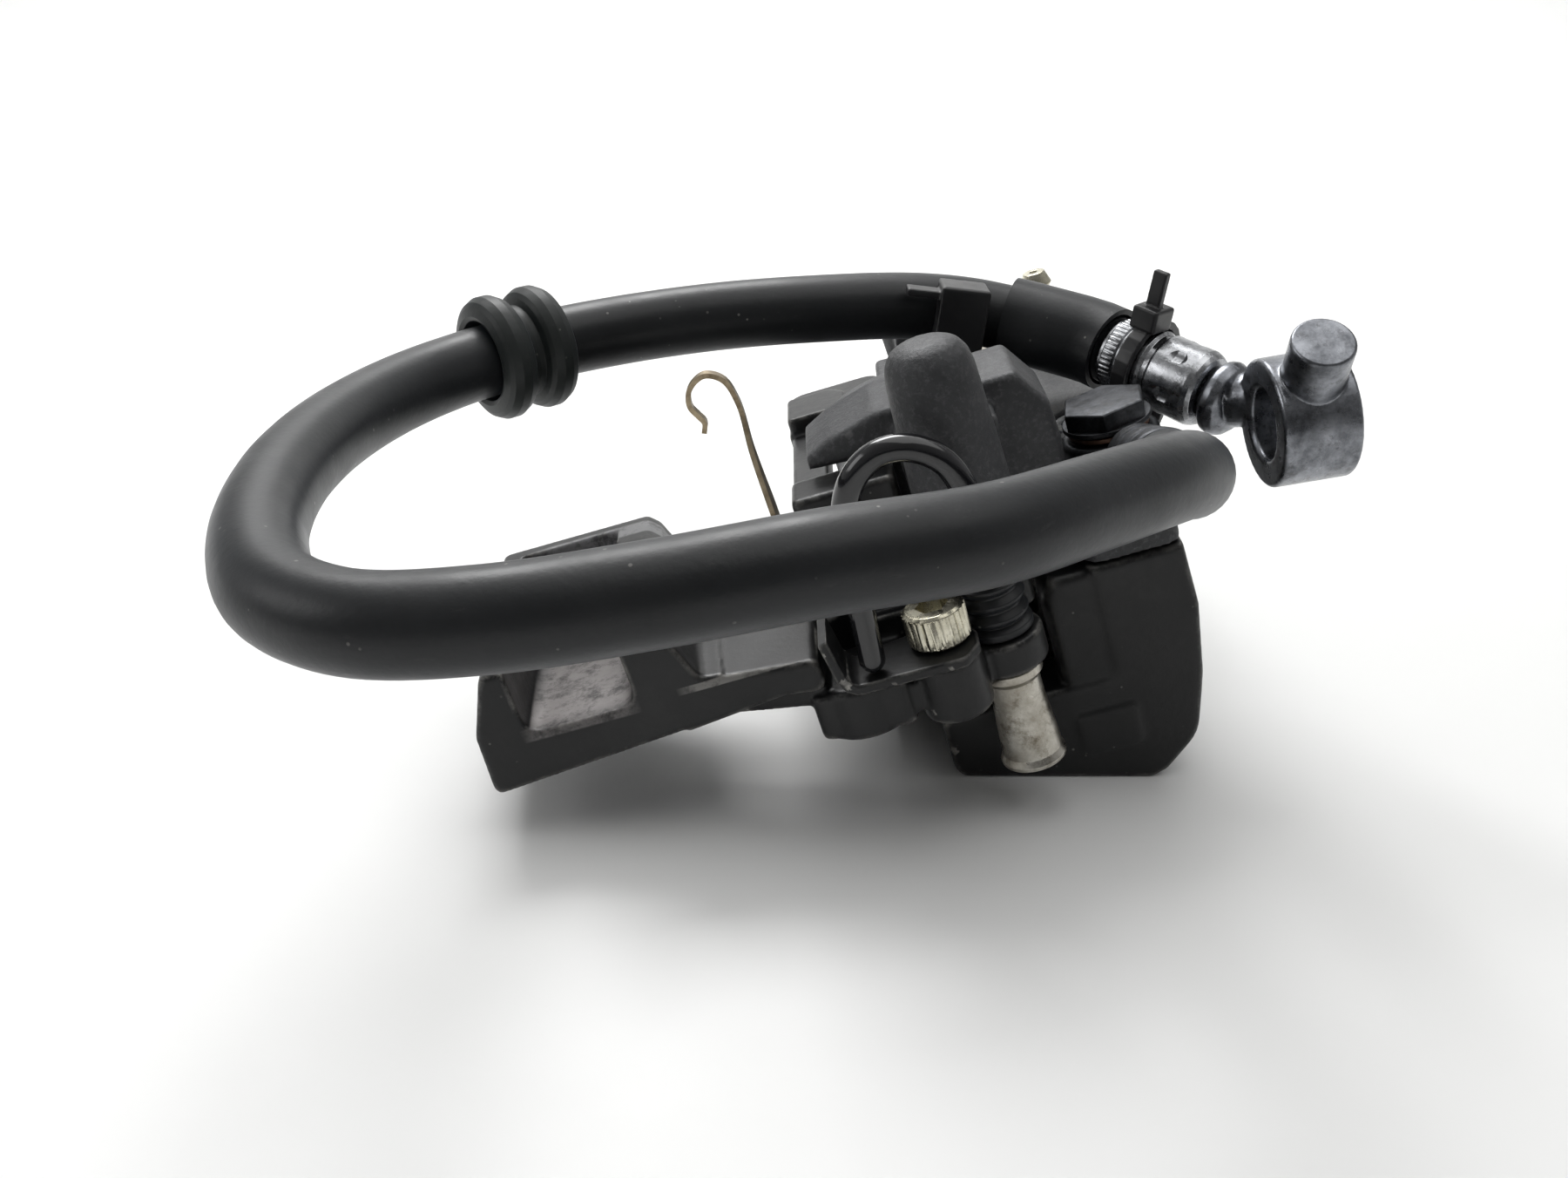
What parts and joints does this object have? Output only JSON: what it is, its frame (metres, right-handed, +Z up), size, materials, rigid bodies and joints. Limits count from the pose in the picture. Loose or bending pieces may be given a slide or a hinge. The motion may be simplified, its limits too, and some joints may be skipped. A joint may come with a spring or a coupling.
{
  "type": "floating disc brake caliper",
  "caption": "Floating motorcycle disc brake caliper on its carrier bracket with slide pins, pads, a looped rubber brake hose and a loose banjo eye",
  "frame": {"origin": "centre of the bottom of the bounding box of the caliper and bracket, without the hose and what is on it, as it lies on a table", "axes": "+Z up from the table; +Y away from the torque arm's slotted front face, along the disc's tangent; +X from the torque arm towards the bridge. The wheel axle's direction leans 17 degrees from +Z towards -X"},
  "size_m": [0.1437, 0.1679, 0.0685],
  "materials": {
    "black_paint": "satin black, worn at edges",
    "grey_cast": "grey, grainy as cast",
    "bare_steel": "bare steel",
    "zinc_plate": "yellowish zinc",
    "dark_zinc": "dark zinc",
    "rubber": "matt black",
    "black_nylon": "moulded",
    "gloss_black": "gloss black coating",
    "spring_steel": "tan spring steel",
    "friction": "matt friction material",
    "copper": "plain"
  },
  "bodies": {
    "caliper": {"caliper_outer": "black_paint", "caliper_inner": "grey_cast", "body_bolt_front": "dark_zinc", "body_bolt_rear": "dark_zinc", "boot_front": "rubber", "boot_rear": "rubber", "piston_seal": "rubber", "dust_seal": "rubber", "pad_pin": "bare_steel", "pad_spring": "spring_steel", "banjo_bolt": "dark_zinc", "washer_lower": "copper", "washer_upper": "copper", "banjo_caliper": "dark_zinc", "ferrule_caliper": "dark_zinc", "brake_hose": "rubber", "hose_sleeve": "rubber", "hose_grommet": "rubber", "hose_clip": "black_nylon", "ferrule_free": "dark_zinc", "banjo_free": "dark_zinc", "zip_tie": "black_nylon"},
    "bracket": {"carrier_bracket": "black_paint", "slide_pin_front": "bare_steel", "slide_pin_rear": "bare_steel", "guide_sleeve_front": "bare_steel", "guide_sleeve_rear": "bare_steel", "stay_plate": "black_paint", "stay_bolt": "zinc_plate", "wire_guide": "gloss_black", "hook_spring": "spring_steel"},
    "piston_body": {"piston": "bare_steel"},
    "pad_inner": {"pad_plate_inner": "black_paint", "pad_lining_inner": "friction"},
    "pad_outer": {"pad_plate_outer": "black_paint", "pad_lining_outer": "friction"},
    "bleeder": {"bleed_screw": "zinc_plate"}
  },
  "joints": [
    {"name": "float_slide", "type": "slide", "parent": "caliper", "child": "bracket", "axis": [-0.2924, 0, 0.9563], "range_m": [-0.005, 0]},
    {"name": "piston_slide", "type": "slide", "parent": "caliper", "child": "piston_body", "axis": [0.2924, 0, -0.9563], "range_m": [0, 0.0046]},
    {"name": "pad_inner_slide", "type": "slide", "parent": "caliper", "child": "pad_inner", "axis": [0.2924, 0, -0.9563], "range_m": [0, 0.0046]},
    {"name": "pad_outer_slide", "type": "slide", "parent": "caliper", "child": "pad_outer", "axis": [-0.2924, 0, 0.9563], "range_m": [0, 0.002]},
    {"name": "bleeder_turn", "type": "hinge", "parent": "caliper", "child": "bleeder", "pos_m": [0.03844, 0.0316, 0.04781], "axis": [-0.2924, 0, 0.9563], "range_deg": [-90, 90]}
  ],
  "couplings": [
    {"joint": "pad_inner_slide", "follows": "piston_slide", "ratio": 1}
  ]
}
